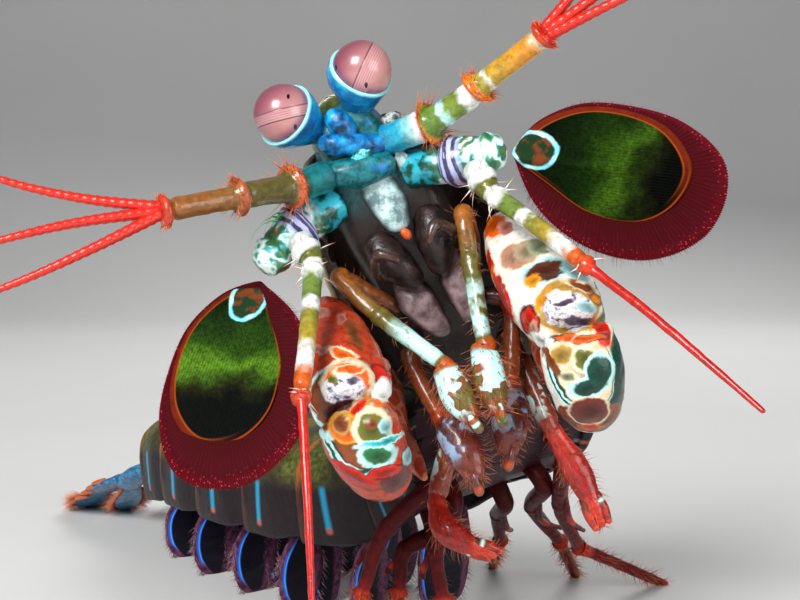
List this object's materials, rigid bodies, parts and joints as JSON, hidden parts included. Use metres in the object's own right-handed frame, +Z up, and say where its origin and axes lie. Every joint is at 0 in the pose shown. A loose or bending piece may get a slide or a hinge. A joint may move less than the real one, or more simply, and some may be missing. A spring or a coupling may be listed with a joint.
{
  "type": "mantis shrimp",
  "caption": "Life-size peacock mantis shrimp, reared up with folded clubs, spread antennal scales and a tail fan on the floor; a still display model.",
  "frame": {"origin": "middle of the footprint's bounding box, on the floor that the legs, swimmerets and tail fan stand on", "axes": "+Z up; the animal faces -Y, its left side is towards +X and its tail runs back along +Y"},
  "size_m": [0.0997, 0.1373, 0.0898],
  "materials": {
    "shell": "semi-gloss olive cuticle with pale flanks and dark spots",
    "head": "glossy turquoise cuticle, bare and slightly rough",
    "tergite": "semi-gloss olive cuticle, darker bands and orange rear edges",
    "tail_fan": "glossy blue-green cuticle with orange-red bristles",
    "eye_stalk": "glossy azure cuticle",
    "cornea": "smooth dusty pink cornea with a pale middle band",
    "antennule": "glossy teal, olive and orange banded cuticle",
    "antenna_base": "glossy lavender and pale teal marbled cuticle",
    "antennal_scale": "iridescent green plate with a maroon fringe of bristles",
    "antenna_whip": "glossy red whip on an olive and white banded stalk",
    "claw_arm": "glossy cream cuticle with red-orange and teal marbling",
    "claw_hand": "glossy olive and red cuticle, hard and smooth at the club",
    "mouth_leg": "semi-gloss olive-brown cuticle with pale patches and bristles",
    "walking_leg": "semi-gloss dark maroon cuticle with orange-red joints",
    "pleopod": "thin mauve lobes with a bright blue arc"
  },
  "bodies": {
    "root": {"carapace": "shell", "rostral_plate": "shell", "head": "head", "thorax_5": "tergite", "thorax_6": "tergite", "thorax_7": "tergite", "thorax_8": "tergite", "abdomen_1": "tergite", "abdomen_2": "tergite", "abdomen_3": "tergite", "abdomen_4": "tergite", "abdomen_5": "tergite", "abdomen_6": "tergite", "telson": "tail_fan", "eye_stalk_L": "eye_stalk", "cornea_L": "cornea", "antennule_L": "antennule", "antenna_base_L": "antenna_base", "antennal_scale_L": "antennal_scale", "antenna_endopod_L": "antenna_whip", "claw_merus_L": "claw_arm", "claw_carpus_L": "claw_arm", "claw_propodus_L": "claw_hand", "claw_dactyl_L": "claw_hand", "maxilliped_1_L": "mouth_leg", "maxilliped_3_L": "mouth_leg", "maxilliped_4_L": "mouth_leg", "maxilliped_5_L": "mouth_leg", "leg_6_L": "walking_leg", "leg_7_L": "walking_leg", "leg_8_L": "walking_leg", "pleopod_1_L": "pleopod", "pleopod_2_L": "pleopod", "pleopod_3_L": "pleopod", "pleopod_4_L": "pleopod", "pleopod_5_L": "pleopod", "uropod_L": "tail_fan", "eye_stalk_R": "eye_stalk", "cornea_R": "cornea", "antennule_R": "antennule", "antenna_base_R": "antenna_base", "antennal_scale_R": "antennal_scale", "antenna_endopod_R": "antenna_whip", "claw_merus_R": "claw_arm", "claw_carpus_R": "claw_arm", "claw_propodus_R": "claw_hand", "claw_dactyl_R": "claw_hand", "maxilliped_1_R": "mouth_leg", "maxilliped_3_R": "mouth_leg", "maxilliped_4_R": "mouth_leg", "maxilliped_5_R": "mouth_leg", "leg_6_R": "walking_leg", "leg_7_R": "walking_leg", "leg_8_R": "walking_leg", "pleopod_1_R": "pleopod", "pleopod_2_R": "pleopod", "pleopod_3_R": "pleopod", "pleopod_4_R": "pleopod", "pleopod_5_R": "pleopod", "uropod_R": "tail_fan"}
  },
  "joints": []
}
